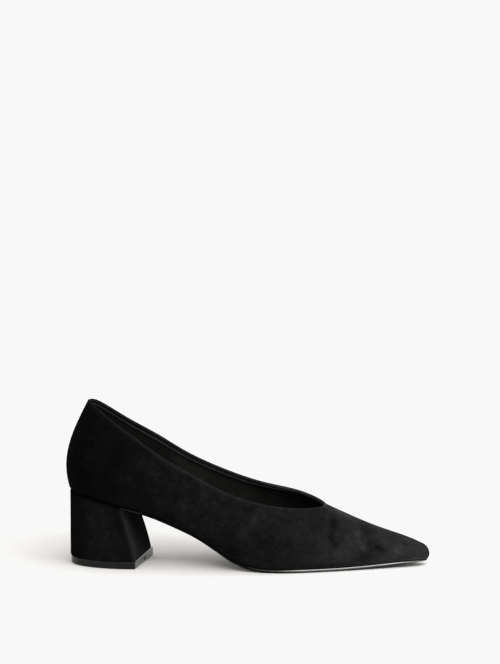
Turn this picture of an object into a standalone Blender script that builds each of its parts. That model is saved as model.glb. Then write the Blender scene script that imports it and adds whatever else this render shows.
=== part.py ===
"""Block-heeled pump with a pointed toe, right foot: upper, insole, outsole, heel and top lift.

The tables hold millimetres and degrees, and Blender's scene is in metres. The last is drawn along its own
axis, back of the heel to tip of the toe: s runs along it and the half-widths lie to the outside (lateral)
and the inside (medial) of it. The spine then gives the axis its swing. In the scene +X is the toe, -Y the
outside of the foot, and Z is up from the floor.
"""

import bmesh
import bpy
import numpy as np

MM = 0.001

# Sizes of the pieces
WALL = 1.8  # suede and lining together
CLEARANCE = 0.3  # between two pieces that meet
INSOLE_THICKNESS = 3.0
OUTSOLE_THICKNESS = 2.3
OUTSOLE_AT_WAIST = 1.8
OUTSOLE_AT_POINT = 1.3
OUTSOLE_AT_TIP = 1.0
LIFT_THICKNESS = 5.3
LIFT_INSET = 0.5
LIFT_FORWARD = 0.5  # how far the lift stands out past the heel's breast
SOLE_EDGE_AT_FOREFOOT = 0.9  # how far the sole's edge stands out past the upper
SOLE_EDGE_AT_WAIST = -1.2
SOLE_EDGE_AT_TIP = -1.0
HEEL_SEAT_INSET = 0.2
HEEL_BREAST = 41.8  # s of the heel's front edge under the seat
HEEL_FOOT_BACK = -0.3  # s of the heel's back and front edges at the floor
HEEL_FOOT_BREAST = 51.5
HEEL_FOOT_SPREAD = (1.02, 1.10)  # width of the heel's foot over that of its seat, outside and inside
BREAST_BOW = 1.0
HEEL_LIP = 0.92  # share of the heel's height above which its breast stands upright behind the sole
CORNER_ROUND = 2.2  # of the breast's corners, which run out square under the sole

# Steepness of the wall: the reach of its two curve handles as shares of its chord
FOOT_REACH = 0.38
TOP_REACH = 0.38

THROAT_ROUND = 0.8  # 0 ends the throat in a sharp V, 1 in a round U

# Fineness of the meshes
COLUMNS_PER_ROW = 4
WALL_STEPS = 14
ACROSS_STEPS = 6
HEEL_LEVELS = 6

# Height of the feather edge, where the upper meets the sole, along the last
BOTTOM = np.array(
    [
        # s      z
        (-0.2, 53.4),
        (20.0, 49.6),
        (39.0, 44.3),
        (60.0, 38.3),
        (82.0, 28.1),
        (93.0, 22.3),
        (104.0, 15.7),
        (118.0, 7.7),
        (128.0, 4.3),
        (142.0, 2.6),
        (184.0, 2.6),
        (200.0, 2.9),
        (218.0, 3.6),
        (236.0, 4.6),
        (252.0, 5.0),
    ],
    dtype=[("s", float), ("z", float)],
)

# Swing of the last: y of its axis, and the turn of its cross sections
SPINE = np.array(
    [
        # s      y    turn
        (0.0, 0.0, -8.5),
        (55.0, -5.4, -8.5),
        (90.0, -6.2, -3.0),
        (150.0, -1.6, 0.0),
        (260.0, 0.0, 0.0),
    ],
    dtype=[("s", float), ("y", float), ("turn", float)],
)

# Sections of the upper, back of the heel to tip of the toe. The wall leaves the feather edge leaning
# outwards by flare, and reaches the topline leaning inwards by lean. From the throat on, both sides meet
# at the ridge of the vamp.
SECTIONS = np.array(
    [
        # name     foot: s  lateral medial flare   top: s  lateral medial  z lateral, medial  lean
        ("back", -0.2, 0.0, 0.0, 15.5, 13.4, 0.0, 0.0, 116.2, 116.2, 28),
        ("corner", 8.0, 18.2, 18.2, 19, 18.2, 12.0, 12.0, 114.4, 112.8, 24),
        ("seat", 28.0, 25.4, 25.4, 22, 35.0, 19.0, 19.0, 103.2, 101.2, 17),
        ("breast", 48.0, 24.0, 23.0, 28, 54.0, 23.5, 23.0, 91.1, 89.9, 10),
        ("shank", 70.0, 21.0, 18.0, 38, 72.0, 26.5, 25.0, 78.8, 79.1, 5),
        ("waist", 93.0, 20.5, 17.0, 42, 92.0, 29.0, 27.0, 67.4, 69.2, 8),
        ("joint", 116.0, 26.5, 25.0, 35, 114.0, 30.5, 29.0, 55.8, 60.1, 20),
        ("ball", 142.0, 33.4, 34.5, 25, 138.0, 28.0, 28.0, 47.6, 52.9, 42),
        ("big_toe", 163.0, 32.4, 37.0, 25, 162.0, 21.5, 22.0, 43.7, 48.2, 68),
        ("throat", 190.0, 25.0, 29.5, 30, 179.4, 0.0, 0.0, 42.8, 42.8, 90),
        ("vamp", 220.0, 15.4, 17.8, 35, 211.0, 0.0, 0.0, 29.2, 29.2, 90),
        ("point", 242.0, 8.0, 8.8, 42, 234.0, 0.0, 0.0, 21.4, 21.4, 90),
        ("tip", 252.0, 0.0, 0.0, 40, 248.0, 0.0, 0.0, 15.8, 15.8, 90),
    ],
    dtype=[
        ("name", "U8"),
        ("s", float),
        ("lateral", float),
        ("medial", float),
        ("flare", float),
        ("top_s", float),
        ("top_lateral", float),
        ("top_medial", float),
        ("top_z_lateral", float),
        ("top_z_medial", float),
        ("lean", float),
    ],
)
LAST_ROW = len(SECTIONS) - 1
THROAT_ROW = int(np.flatnonzero(SECTIONS["name"] == "throat")[0])
POINT_ROW = int(np.flatnonzero(SECTIONS["name"] == "point")[0])


def eased(knots, values, at):
    """Monotone cubic through the knots: it keeps flat stretches flat and never overshoots."""
    step = np.diff(knots)
    slope = np.diff(values) / step
    tangent = np.zeros(len(knots))
    tangent[0], tangent[-1] = slope[0], slope[-1]
    before, after = slope[:-1], slope[1:]
    turning = before * after > 0
    weight_before = 2 * step[1:] + step[:-1]
    weight_after = step[1:] + 2 * step[:-1]
    mean = weight_before + weight_after
    safe_before, safe_after = np.where(turning, before, 1), np.where(turning, after, 1)
    tangent[1:-1] = np.where(turning, mean / (weight_before / safe_before + weight_after / safe_after), 0)
    span = np.clip(np.searchsorted(knots, at, side="right") - 1, 0, len(step) - 1)
    t = (at - knots[span]) / step[span]
    rise = values[span + 1] - values[span]
    start, end = tangent[span] * step[span], tangent[span + 1] * step[span]
    return values[span] + t * (start + t * (3 * rise - 2 * start - end + t * (start + end - 2 * rise)))


def spline(values, at, closed):
    """Cubic spline with even curvature through values at 0, 1, 2 ...; a closed one returns to its start."""
    count = len(values)
    matrix = 4 * np.eye(count) + np.eye(count, k=1) + np.eye(count, k=-1)
    if closed:
        matrix[0, -1] += 1
        matrix[-1, 0] += 1
        bend = 6 * (np.roll(values, -1) - 2 * values + np.roll(values, 1))
    else:
        matrix[0] = np.eye(count)[0]
        matrix[-1] = np.eye(count)[-1]
        bend = np.concatenate([[0], 6 * np.diff(values, 2), [0]])
    curve = np.linalg.solve(matrix, bend)
    base = np.floor(at).astype(int)
    if not closed:
        base = np.clip(base, 0, count - 2)
    t = at - base
    first, second = base % count, (base + 1) % count
    return (
        values[first] * (1 - t)
        + values[second] * t
        + curve[first] * ((1 - t) ** 3 - (1 - t)) / 6
        + curve[second] * (t**3 - t) / 6
    )


def bottom_z(s):
    """Height of the feather edge above the floor."""
    return eased(BOTTOM["s"], BOTTOM["z"], np.clip(s, BOTTOM["s"][0], BOTTOM["s"][-1]))


def swung(s, across, z):
    """Points of the straight last, across being negative to the outside, moved onto the swung axis."""
    along = np.clip(s, SPINE["s"][0], SPINE["s"][-1])
    turn = np.radians(eased(SPINE["s"], SPINE["turn"], along))
    y = eased(SPINE["s"], SPINE["y"], along)
    return np.stack([s - across * np.sin(turn), y + across * np.cos(turn), z + 0 * s], axis=-1)


def feather(row):
    """(s, across) of the feather edge. Row -n is section n on the outside and row n on the inside."""
    s = np.concatenate([SECTIONS["s"], SECTIONS["s"][-2:0:-1]])
    across = np.concatenate([SECTIONS["medial"], -SECTIONS["lateral"][-2:0:-1]])
    return spline(s, row % len(s), True), spline(across, row % len(s), True)


def outward(row):
    """Plan direction away from the foot, square to the feather edge."""
    nudge = 0.01
    ahead, behind = np.array(feather(row + nudge)), np.array(feather(row - nudge))
    along = (ahead - behind) / np.linalg.norm(ahead - behind, axis=0)
    return -along[1], along[0]


def along_rim(lateral, medial, row):
    """A value along the topline, between a throat that ends in a sharp V and one that runs round in a U."""
    around = np.clip(row, -THROAT_ROW, THROAT_ROW)
    pointed = spline(np.concatenate([lateral[:0:-1], medial]), around + THROAT_ROW, False)
    rounded = spline(np.concatenate([medial, lateral[-2:0:-1]]), around % (2 * THROAT_ROW), True)
    return pointed + THROAT_ROUND * (rounded - pointed)


def top_edge(row):
    """(s, across, z) of the topline, or of the vamp's ridge in front of the throat."""
    rim, ridge = SECTIONS[: THROAT_ROW + 1], SECTIONS[THROAT_ROW:]
    rim_s = along_rim(rim["top_s"], rim["top_s"], row)
    rim_across = along_rim(-rim["top_lateral"], rim["top_medial"], row)
    rim_z = along_rim(rim["top_z_lateral"], rim["top_z_medial"], row)
    ahead = np.clip(np.abs(row) - THROAT_ROW, 0, None)
    ridge_s = spline(ridge["top_s"], ahead, False)
    ridge_z = spline(ridge["top_z_medial"], ahead, False)
    on_ridge = np.abs(row) >= THROAT_ROW
    return np.where(on_ridge, ridge_s, rim_s), np.where(on_ridge, 0, rim_across), np.where(on_ridge, ridge_z, rim_z)


def wall(row, rise):
    """Points of the upper's outside on one column each: rise runs from 0 at the sole to 1 at the top."""
    rows = np.arange(len(SECTIONS))
    flare = np.radians(eased(rows, SECTIONS["flare"], np.abs(row)))
    lean = np.radians(eased(rows, SECTIONS["lean"], np.abs(row)))
    foot_s, foot_across = feather(row)
    foot = np.stack([foot_s, foot_across, bottom_z(foot_s)], axis=-1)
    top = np.stack(top_edge(row), axis=-1)
    out_s, out_across = outward(row)
    leave = np.stack([np.sin(flare) * out_s, np.sin(flare) * out_across, np.cos(flare)], axis=-1)
    # At the heel the wall leans in towards the foot's middle, further on straight across, and at the tip it
    # runs up into the ridge.
    side = np.sign(row)
    heel_share = np.clip(3 - np.abs(row), 0, 1)
    in_s = -out_s * heel_share
    in_across = -out_across * heel_share - side * (1 - heel_share)
    tip_turn = np.radians(90) * np.clip((np.abs(row) - POINT_ROW) / (LAST_ROW - POINT_ROW), 0, 1)
    ridge = np.gradient(SECTIONS["top_z_medial"][POINT_ROW:], SECTIONS["top_s"][POINT_ROW:])[-1]
    arrive = np.stack(
        [
            np.sin(lean) * (in_s * np.cos(tip_turn) - np.sin(tip_turn)),
            np.sin(lean) * in_across * np.cos(tip_turn),
            np.cos(lean) - np.sin(tip_turn) * ridge,
        ],
        axis=-1,
    )
    chord = np.linalg.norm(top - foot, axis=-1, keepdims=True)
    first = foot + FOOT_REACH * chord * leave
    second = top - TOP_REACH * chord * arrive
    t = rise[..., None]
    line = (1 - t) ** 3 * foot + 3 * t * (1 - t) ** 2 * first + 3 * t**2 * (1 - t) * second + t**3 * top
    return swung(line[..., 0], line[..., 1], line[..., 2])


def add_object(name, mesh_maker, colour, roughness, parent):
    """One named piece with its own material, parented to the shoe's reference point."""
    mesh = bpy.data.meshes.new(name)
    shape = bmesh.new()
    mesh_maker(shape)
    bmesh.ops.remove_doubles(shape, verts=shape.verts, dist=0.01 * MM)
    bmesh.ops.dissolve_degenerate(shape, edges=shape.edges, dist=0.01 * MM)
    bmesh.ops.recalc_face_normals(shape, faces=shape.faces)
    shape.to_mesh(mesh)
    shape.free()
    mesh.shade_smooth()
    mesh.set_sharp_from_angle(angle=np.radians(35))
    piece = bpy.data.objects.new(name, mesh)
    bpy.context.scene.collection.objects.link(piece)
    piece.parent = parent
    material = bpy.data.materials.new(name)
    material.use_nodes = True
    shader = material.node_tree.nodes["Principled BSDF"]
    shader.inputs["Base Color"].default_value = (*colour, 1)
    shader.inputs["Roughness"].default_value = roughness
    mesh.materials.append(material)
    return piece


def add_grid(shape, points):
    """Faces over a grid of points, in millimetres; returns the grid of vertices."""
    verts = [[shape.verts.new(point * MM) for point in line] for line in points]
    for line, following in zip(verts, verts[1:]):
        for a, b, c, d in zip(line, line[1:], following[1:], following):
            shape.faces.new((a, b, c, d))
    return verts


def add_stack(shape, levels):
    """A closed body through grids laid one above the other, lowest first."""
    grids = [add_grid(shape, level) for level in (levels[0], levels[-1])]

    def border(points):
        return np.concatenate([points[:, 0], points[-1, 1:], points[-2::-1, -1], points[0, -2::-1]])

    loops = [[shape.verts.new(point * MM) for point in border(level)] for level in levels]
    for low, high in zip(loops, loops[1:]):
        for a, b, c, d in zip(low, low[1:], high[1:], high):
            shape.faces.new((a, b, c, d))
    return grids


def plate(rows, edge, under, thickness):
    """Levels of a sheet between the two sides of the feather edge, moved out by edge, resting above under."""
    share = np.linspace(0, 1, ACROSS_STEPS + 1)
    plan = []
    for side in (-1, 1):
        s, across = feather(side * rows)
        out_s, out_across = outward(side * rows)
        plan.append(np.stack([s + edge * out_s, across + edge * out_across], axis=-1))
    grid = plan[0][:, None] * (1 - share[:, None]) + plan[1][:, None] * share[:, None]
    low = bottom_z(grid[..., 0]) + under
    return [swung(grid[..., 0], grid[..., 1], low + lift) for lift in (0, thickness)]


def section_rows(start, end):
    """Places of the mesh's columns, as section numbers."""
    count = int(round((end - start) * COLUMNS_PER_ROW)) + 1
    return np.linspace(start, end, count)


def row_at(s_wanted):
    """The section number where the feather edge reaches s."""
    rows = np.linspace(0, LAST_ROW, 400)
    return float(np.interp(s_wanted, feather(rows)[0], rows))


def upper(shape):
    """The outside of the suede; its wall gets its thickness afterwards."""
    rows = section_rows(-LAST_ROW, LAST_ROW)
    rise = np.linspace(0, 1, WALL_STEPS + 1)
    column, height = np.meshgrid(rows, rise, indexing="ij")
    add_grid(shape, wall(column, height))


def insole(shape):
    """The board and sock that close the upper inside."""
    rows = section_rows(0, LAST_ROW)
    add_stack(shape, plate(rows, -(WALL + 2 * CLEARANCE), 0, INSOLE_THICKNESS))


def outsole(shape):
    """The thin sole, from the heel's breast to the tip, a little proud of the upper at the forefoot."""
    start = row_at(HEEL_BREAST + CLEARANCE)
    rows = section_rows(start, LAST_ROW)
    edge = eased(
        np.array([start, row_at(95), row_at(135), POINT_ROW, LAST_ROW]),
        np.array(
            [
                -HEEL_SEAT_INSET,
                SOLE_EDGE_AT_WAIST,
                SOLE_EDGE_AT_FOREFOOT,
                SOLE_EDGE_AT_FOREFOOT,
                SOLE_EDGE_AT_TIP,
            ]
        ),
        rows,
    )
    thickness = eased(
        np.array([start, row_at(95), row_at(142), row_at(214), POINT_ROW, LAST_ROW]),
        np.array(
            [
                OUTSOLE_AT_WAIST,
                OUTSOLE_AT_WAIST,
                OUTSOLE_THICKNESS,
                OUTSOLE_THICKNESS,
                OUTSOLE_AT_POINT,
                OUTSOLE_AT_TIP,
            ]
        ),
        rows,
    )[:, None]
    add_stack(shape, plate(rows, edge, -CLEARANCE - thickness, thickness))


def heel_level(share, inset, forward_by):
    """(s, across) over the heel's plan at a share of its height, 0 at the foot and 1 under the seat.

    inset draws in its back and sides, and forward_by moves its breast towards the toe."""
    rows = np.linspace(0, row_at(HEEL_BREAST), 3 * COLUMNS_PER_ROW + 1)
    ratio = np.linspace(-1, 1, ACROSS_STEPS + 3)
    s, half_medial = feather(rows)
    half_lateral = -feather(-rows)[1]
    half = np.where(ratio < 0, half_lateral[:, None], half_medial[:, None])
    seat_back, seat_breast = SECTIONS["s"][0] + HEEL_SEAT_INSET, HEEL_BREAST
    forward = (s - s[0]) / (s[-1] - s[0])
    back = seat_back + (HEEL_FOOT_BACK - seat_back) * (1 - share) + inset
    fall = np.clip(1 - share / HEEL_LIP, 0, 1)
    front = seat_breast + (HEEL_FOOT_BREAST - seat_breast) * fall + forward_by
    front = front + BREAST_BOW * 4 * fall * (1 - fall)
    spread = 1 + (np.where(ratio < 0, *HEEL_FOOT_SPREAD) - 1) * (1 - share)
    across = ratio * (half * spread - (HEEL_SEAT_INSET + inset) * (half > 0))
    corner = CORNER_ROUND * np.abs(ratio) ** 8 * np.clip(4 * fall, 0, 1)
    along = back + (front - back) * forward
    return along[:, None] - corner * forward[:, None], across


def heel(shape):
    """The covered block: flared forwards at the floor, its top following the sloping seat."""
    floor = LIFT_THICKNESS + CLEARANCE
    levels = []
    for share in np.append(np.linspace(0, HEEL_LIP, HEEL_LEVELS), 1):
        s, across = heel_level(share, 0, 0)
        seat_z = bottom_z(s) - CLEARANCE
        levels.append(swung(s, across, floor + (seat_z - floor) * share))
    add_stack(shape, levels)


def top_lift(shape):
    """The hard wearing piece under the heel."""
    s, across = heel_level(0, LIFT_INSET, LIFT_FORWARD)
    add_stack(shape, [swung(s, across, z) for z in (0, LIFT_THICKNESS)])


def main():
    for old in list(bpy.data.objects):
        bpy.data.objects.remove(old)
    shoe = bpy.data.objects.new("shoe", None)
    bpy.context.scene.collection.objects.link(shoe)
    suede = add_object("upper", upper, (0.012, 0.011, 0.011), 0.95, shoe)
    thickness = suede.modifiers.new("wall", "SOLIDIFY")
    thickness.thickness = WALL * MM
    thickness.offset = -1
    thickness.use_even_offset = True
    add_object("insole", insole, (0.014, 0.013, 0.013), 0.7, shoe)
    add_object("outsole", outsole, (0.02, 0.02, 0.02), 0.35, shoe)
    add_object("heel", heel, (0.012, 0.011, 0.011), 0.95, shoe)
    add_object("top_lift", top_lift, (0.045, 0.045, 0.045), 0.5, shoe)
    corners = np.array([vert.co for piece in shoe.children for vert in piece.data.vertices])
    middle = (corners.min(axis=0) + corners.max(axis=0)) / 2
    shoe.location = (-middle[0], -middle[1], 0)


main()
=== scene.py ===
"""Looks of a block-heeled pump with a pointed toe, right foot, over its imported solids.

Shapes are worked out in millimetres on the shoe's last and put into Blender in metres. On the last, s runs
from the back of the heel to the tip of the toe, across is negative to the outside of the foot, and z is up.
"""

import bmesh
import bpy
import numpy as np
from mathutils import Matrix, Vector


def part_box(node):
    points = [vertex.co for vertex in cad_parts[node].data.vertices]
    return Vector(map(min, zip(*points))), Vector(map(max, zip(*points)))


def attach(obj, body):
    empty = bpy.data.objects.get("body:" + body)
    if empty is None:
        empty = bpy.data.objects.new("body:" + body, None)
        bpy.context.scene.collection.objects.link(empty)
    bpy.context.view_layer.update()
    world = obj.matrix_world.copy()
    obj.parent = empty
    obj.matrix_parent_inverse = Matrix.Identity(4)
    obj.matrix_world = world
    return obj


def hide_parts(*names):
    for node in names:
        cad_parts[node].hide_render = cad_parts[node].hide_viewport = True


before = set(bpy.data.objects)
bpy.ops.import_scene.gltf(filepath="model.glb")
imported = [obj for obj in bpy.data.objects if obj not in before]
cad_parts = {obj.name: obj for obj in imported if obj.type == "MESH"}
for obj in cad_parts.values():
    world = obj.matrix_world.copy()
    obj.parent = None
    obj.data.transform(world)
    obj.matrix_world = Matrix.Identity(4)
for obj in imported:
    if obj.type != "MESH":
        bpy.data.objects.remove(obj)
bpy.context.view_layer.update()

# Suede upper: one piece of black suede drawn over the last, with no seam on the outside of the foot.
# Its top edge is turned over to the inside all round the collar, and its bottom edge is pulled under
# and lasted to the insole.
MM = 0.001
SUEDE_THICKNESS = 1.0
ROLL = 1.05  # radius of the turned-over top edge
ROLL_DROP = 0.84  # how far below the topline the edge starts to turn
BAND_HEIGHTS = (
    # s, height of the suede that is turned over to the inside
    (13, 3.3), (30, 3.5), (45, 4.0), (60, 4.2), (80, 3.8), (140, 3.4), (166, 3.0), (176, 1.5),
    (179, 1.3),
)
FOOT_ROUND = 0.95  # radius of the upper where it is pulled under, at the heel and the waist
LASTING_MARGIN = 3.0
FOOT_REACH = 0.38  # reach of the wall's two curve handles, as shares of its chord
TOP_REACH = 0.38
THROAT_ROUND = 0.8  # 0 ends the throat in a sharp V, 1 in a round U

BOTTOM = np.array(
    [
        # s, z of the edge where upper and sole meet
        (-0.2, 53.4), (10.0, 51.25), (20.0, 49.5), (30.0, 47.15), (39.0, 44.35), (60.0, 38.3),
        (82.0, 28.1), (93.0, 22.3), (104.0, 15.5), (118.0, 7.4), (128.0, 4.0), (142.0, 2.3),
        (184.0, 2.3), (200.0, 2.6), (218.0, 3.4), (236.0, 4.4), (252.0, 4.7),
    ],
    dtype=[("s", float), ("z", float)],
)
SPINE = np.array(
    [
        # s    y of the last's axis, turn of its sections
        (0.0, 0.0, -8.5),
        (55.0, -5.4, -8.5),
        (90.0, -6.2, -3.0),
        (150.0, -1.6, 0.0),
        (260.0, 0.0, 0.0),
    ],
    dtype=[("s", float), ("y", float), ("turn", float)],
)
SECTION_COLUMNS = "s lateral medial flare top_s top_lateral top_medial top_z_lateral top_z_medial lean"
SECTIONS = np.array(
    [
        # name     foot: s  lateral medial flare   top: s  lateral medial  z lateral, medial  lean
        ("back", -0.2, 0.0, 0.0, 15.5, 13.4, 0.0, 0.0, 116.2, 116.2, 28),
        ("corner", 8.0, 18.2, 18.2, 19, 18.2, 12.0, 12.0, 114.4, 112.8, 24),
        ("seat", 28.0, 25.4, 25.4, 22, 35.0, 19.0, 19.0, 103.2, 101.2, 17),
        ("breast", 48.0, 24.0, 23.0, 28, 54.0, 23.5, 23.0, 91.1, 89.9, 10),
        ("shank", 70.0, 21.0, 18.0, 38, 72.0, 26.5, 25.0, 78.8, 79.1, 5),
        ("waist", 93.0, 20.5, 17.0, 42, 92.0, 29.0, 27.0, 67.4, 69.2, 8),
        ("joint", 116.0, 26.5, 25.0, 35, 114.0, 30.5, 29.0, 55.8, 60.1, 20),
        ("ball", 142.0, 33.4, 34.5, 25, 138.0, 28.0, 28.0, 47.6, 52.9, 42),
        ("big_toe", 163.0, 32.4, 37.0, 25, 162.0, 21.5, 22.0, 43.7, 48.2, 68),
        ("throat", 190.0, 25.0, 29.5, 30, 179.4, 0.0, 0.0, 42.8, 42.8, 90),
        ("vamp", 220.0, 15.4, 17.8, 35, 211.0, 0.0, 0.0, 29.2, 29.2, 90),
        ("point", 242.0, 8.0, 8.8, 42, 234.0, 0.0, 0.0, 21.4, 21.4, 90),
        ("tip", 252.0, 0.0, 0.0, 40, 248.0, 0.0, 0.0, 15.8, 15.8, 90),
    ],
    dtype=[("name", "U8"), *((column, float) for column in SECTION_COLUMNS.split())],
)
LAST_ROW = len(SECTIONS) - 1
BREAST_ROW, BALL_ROW, THROAT_ROW, POINT_ROW = (
    int(np.flatnonzero(SECTIONS["name"] == name)[0]) for name in ("breast", "ball", "throat", "point")
)


def eased(knots, values, at):
    """Monotone cubic through the knots: slopes are harmonic means of the chords, so it never overshoots."""
    step = np.diff(knots)
    slope = np.diff(values) / step
    before, after = slope[:-1], slope[1:]
    turning = before * after > 0
    weight_before, weight_after = 2 * step[1:] + step[:-1], step[1:] + 2 * step[:-1]
    safe_before, safe_after = np.where(turning, before, 1), np.where(turning, after, 1)
    inner = (weight_before + weight_after) / (weight_before / safe_before + weight_after / safe_after)
    tangent = np.concatenate([slope[:1], np.where(turning, inner, 0), slope[-1:]])
    span = np.clip(np.searchsorted(knots, at, side="right") - 1, 0, len(step) - 1)
    t = (at - knots[span]) / step[span]
    rise = values[span + 1] - values[span]
    start, end = tangent[span] * step[span], tangent[span + 1] * step[span]
    return values[span] + t * (start + t * (3 * rise - 2 * start - end + t * (start + end - 2 * rise)))


def spline(values, at, closed):
    """Cubic spline through values at 0, 1, 2 ...: second derivatives from the usual three-term system."""
    count = len(values)
    matrix = 4 * np.eye(count) + np.eye(count, k=1) + np.eye(count, k=-1)
    if closed:
        matrix[0, -1] += 1
        matrix[-1, 0] += 1
        bend = 6 * (np.roll(values, -1) - 2 * values + np.roll(values, 1))
    else:
        matrix[0], matrix[-1] = np.eye(count)[0], np.eye(count)[-1]
        bend = np.concatenate([[0], 6 * np.diff(values, 2), [0]])
    curve = np.linalg.solve(matrix, bend)
    base = np.floor(at).astype(int)
    if not closed:
        base = np.clip(base, 0, count - 2)
    t = at - base
    first, second = base % count, (base + 1) % count
    straight = values[first] * (1 - t) + values[second] * t
    return straight + (curve[first] * ((1 - t) ** 3 - (1 - t)) + curve[second] * (t**3 - t)) / 6


def bottom_z(s):
    """Height of the edge where upper and sole meet, eased along the last."""
    return eased(BOTTOM["s"], BOTTOM["z"], np.clip(s, BOTTOM["s"][0], BOTTOM["s"][-1]))


def swung(s, across, z):
    """Points of the straight last moved onto its swung axis: turned about z, then shifted in y."""
    along = np.clip(s, SPINE["s"][0], SPINE["s"][-1])
    turn = np.radians(eased(SPINE["s"], SPINE["turn"], along))
    y = eased(SPINE["s"], SPINE["y"], along)
    return np.stack([s - across * np.sin(turn), y + across * np.cos(turn), z + 0 * s], axis=-1)


def feather(row):
    """(s, across) of the bottom edge, a closed spline: row n is section n inside, row -n outside."""
    s = np.concatenate([SECTIONS["s"], SECTIONS["s"][-2:0:-1]])
    across = np.concatenate([SECTIONS["medial"], -SECTIONS["lateral"][-2:0:-1]])
    return spline(s, row % len(s), True), spline(across, row % len(s), True)


def outward(row):
    """Plan direction away from the foot, square to the bottom edge."""
    nudge = 0.01
    ahead, behind = np.array(feather(row + nudge)), np.array(feather(row - nudge))
    along = (ahead - behind) / np.linalg.norm(ahead - behind, axis=0)
    return -along[1], along[0]


def along_rim(lateral, medial, row):
    """A value along the topline: an open spline, a V at the throat, mixed with a closed one, a U there."""
    around = np.clip(row, -THROAT_ROW, THROAT_ROW)
    pointed = spline(np.concatenate([lateral[:0:-1], medial]), around + THROAT_ROW, False)
    rounded = spline(np.concatenate([medial, lateral[-2:0:-1]]), around % (2 * THROAT_ROW), True)
    return pointed + THROAT_ROUND * (rounded - pointed)


def top_edge(row):
    """(s, across, z) of the topline, or of the vamp's ridge in front of the throat."""
    rim, ridge = SECTIONS[: THROAT_ROW + 1], SECTIONS[THROAT_ROW:]
    rim_s = along_rim(rim["top_s"], rim["top_s"], row)
    rim_across = along_rim(-rim["top_lateral"], rim["top_medial"], row)
    rim_z = along_rim(rim["top_z_lateral"], rim["top_z_medial"], row)
    ahead = np.clip(np.abs(row) - THROAT_ROW, 0, None)
    ridge_s = spline(ridge["top_s"], ahead, False)
    ridge_z = spline(ridge["top_z_medial"], ahead, False)
    on_ridge = np.abs(row) >= THROAT_ROW
    return (
        np.where(on_ridge, ridge_s, rim_s),
        np.where(on_ridge, 0, rim_across),
        np.where(on_ridge, ridge_z, rim_z),
    )


def wall(row, rise):
    """The outside: each column is a cubic Bezier, leaning out at the bottom edge and in at the top."""
    rows = np.arange(len(SECTIONS))
    flare = np.radians(eased(rows, SECTIONS["flare"], np.abs(row)))
    lean = np.radians(eased(rows, SECTIONS["lean"], np.abs(row)))
    foot_s, foot_across = feather(row)
    foot = np.stack([foot_s, foot_across, bottom_z(foot_s)], axis=-1)
    top = np.stack(top_edge(row), axis=-1)
    out_s, out_across = outward(row)
    leave = np.stack([np.sin(flare) * out_s, np.sin(flare) * out_across, np.cos(flare)], axis=-1)
    heel_share = np.clip(BREAST_ROW - np.abs(row), 0, 1)
    in_s = -out_s * heel_share
    in_across = -out_across * heel_share - np.sign(row) * (1 - heel_share)
    tip_turn = np.radians(90) * np.clip((np.abs(row) - POINT_ROW) / (LAST_ROW - POINT_ROW), 0, 1)
    ridge = np.gradient(SECTIONS["top_z_medial"][POINT_ROW:], SECTIONS["top_s"][POINT_ROW:])[-1]
    arrive = np.stack(
        [
            np.sin(lean) * (in_s * np.cos(tip_turn) - np.sin(tip_turn)),
            np.sin(lean) * in_across * np.cos(tip_turn),
            np.cos(lean) - np.sin(tip_turn) * ridge,
        ],
        axis=-1,
    )
    chord = np.linalg.norm(top - foot, axis=-1, keepdims=True)
    first, second = foot + FOOT_REACH * chord * leave, top - TOP_REACH * chord * arrive
    t = rise[..., None]
    line = (1 - t) ** 3 * foot + 3 * t * (1 - t) ** 2 * first + 3 * t**2 * (1 - t) * second + t**3 * top
    return swung(line[..., 0], line[..., 1], line[..., 2])


def unit(vectors):
    """The vectors at length one."""
    return vectors / np.linalg.norm(vectors, axis=-1, keepdims=True)


def sheet_normals(points):
    """Outward directions on a grid of points: sums of the crossed diagonals of the quads round each place."""
    crossed = np.cross(points[1:, 1:] - points[:-1, :-1], points[1:, :-1] - points[:-1, 1:])
    places = np.round(points.reshape(-1, 3) / 1e-4).astype(np.int64)
    _, place = np.unique(places, axis=0, return_inverse=True)
    place = place.reshape(points.shape[:-1])
    total = np.zeros((place.max() + 1, 3))
    for corner in (place[:-1, :-1], place[1:, :-1], place[:-1, 1:], place[1:, 1:]):
        np.add.at(total, corner, crossed)
    return unit(total)[place]


THROAT_ZONE = 0.6  # rows on each side of the throat where the columns lie closer
QUARTER_COLUMNS, THROAT_COLUMNS, VAMP_COLUMNS = 168, 18, 48
TOP_ZONE = 0.86  # share of the wall above which its lines lie closer
WALL_LINES, TOP_LINES = 44, 24
half_rows = np.concatenate(
    [
        np.linspace(0, THROAT_ROW - THROAT_ZONE, QUARTER_COLUMNS, endpoint=False),
        np.linspace(THROAT_ROW - THROAT_ZONE, THROAT_ROW, THROAT_COLUMNS, endpoint=False),
        np.linspace(THROAT_ROW, THROAT_ROW + THROAT_ZONE, THROAT_COLUMNS, endpoint=False),
        np.linspace(THROAT_ROW + THROAT_ZONE, LAST_ROW, VAMP_COLUMNS),
    ]
)
upper_rows = np.concatenate([-half_rows[:0:-1], half_rows])
wall_rise = np.linspace(0, TOP_ZONE, WALL_LINES, endpoint=False)
top_rise = np.linspace(TOP_ZONE, 1, TOP_LINES)
upper_rise = np.concatenate([wall_rise, top_rise])
row_grid, rise_grid = np.meshgrid(upper_rows, upper_rise, indexing="ij")
last_wall = wall(row_grid, rise_grid)
wall_out = sheet_normals(last_wall)
on_rim = np.abs(upper_rows) <= THROAT_ROW
rim, rim_out = last_wall[on_rim, -1], wall_out[on_rim, -1]
loop = rim[:-1]
rim_along = unit(np.roll(loop, -1, axis=0) - np.roll(loop, 1, axis=0))
rim_along = np.concatenate([rim_along, rim_along[:1]])
rim_up = unit(np.cross(rim_along, rim_out))

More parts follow.
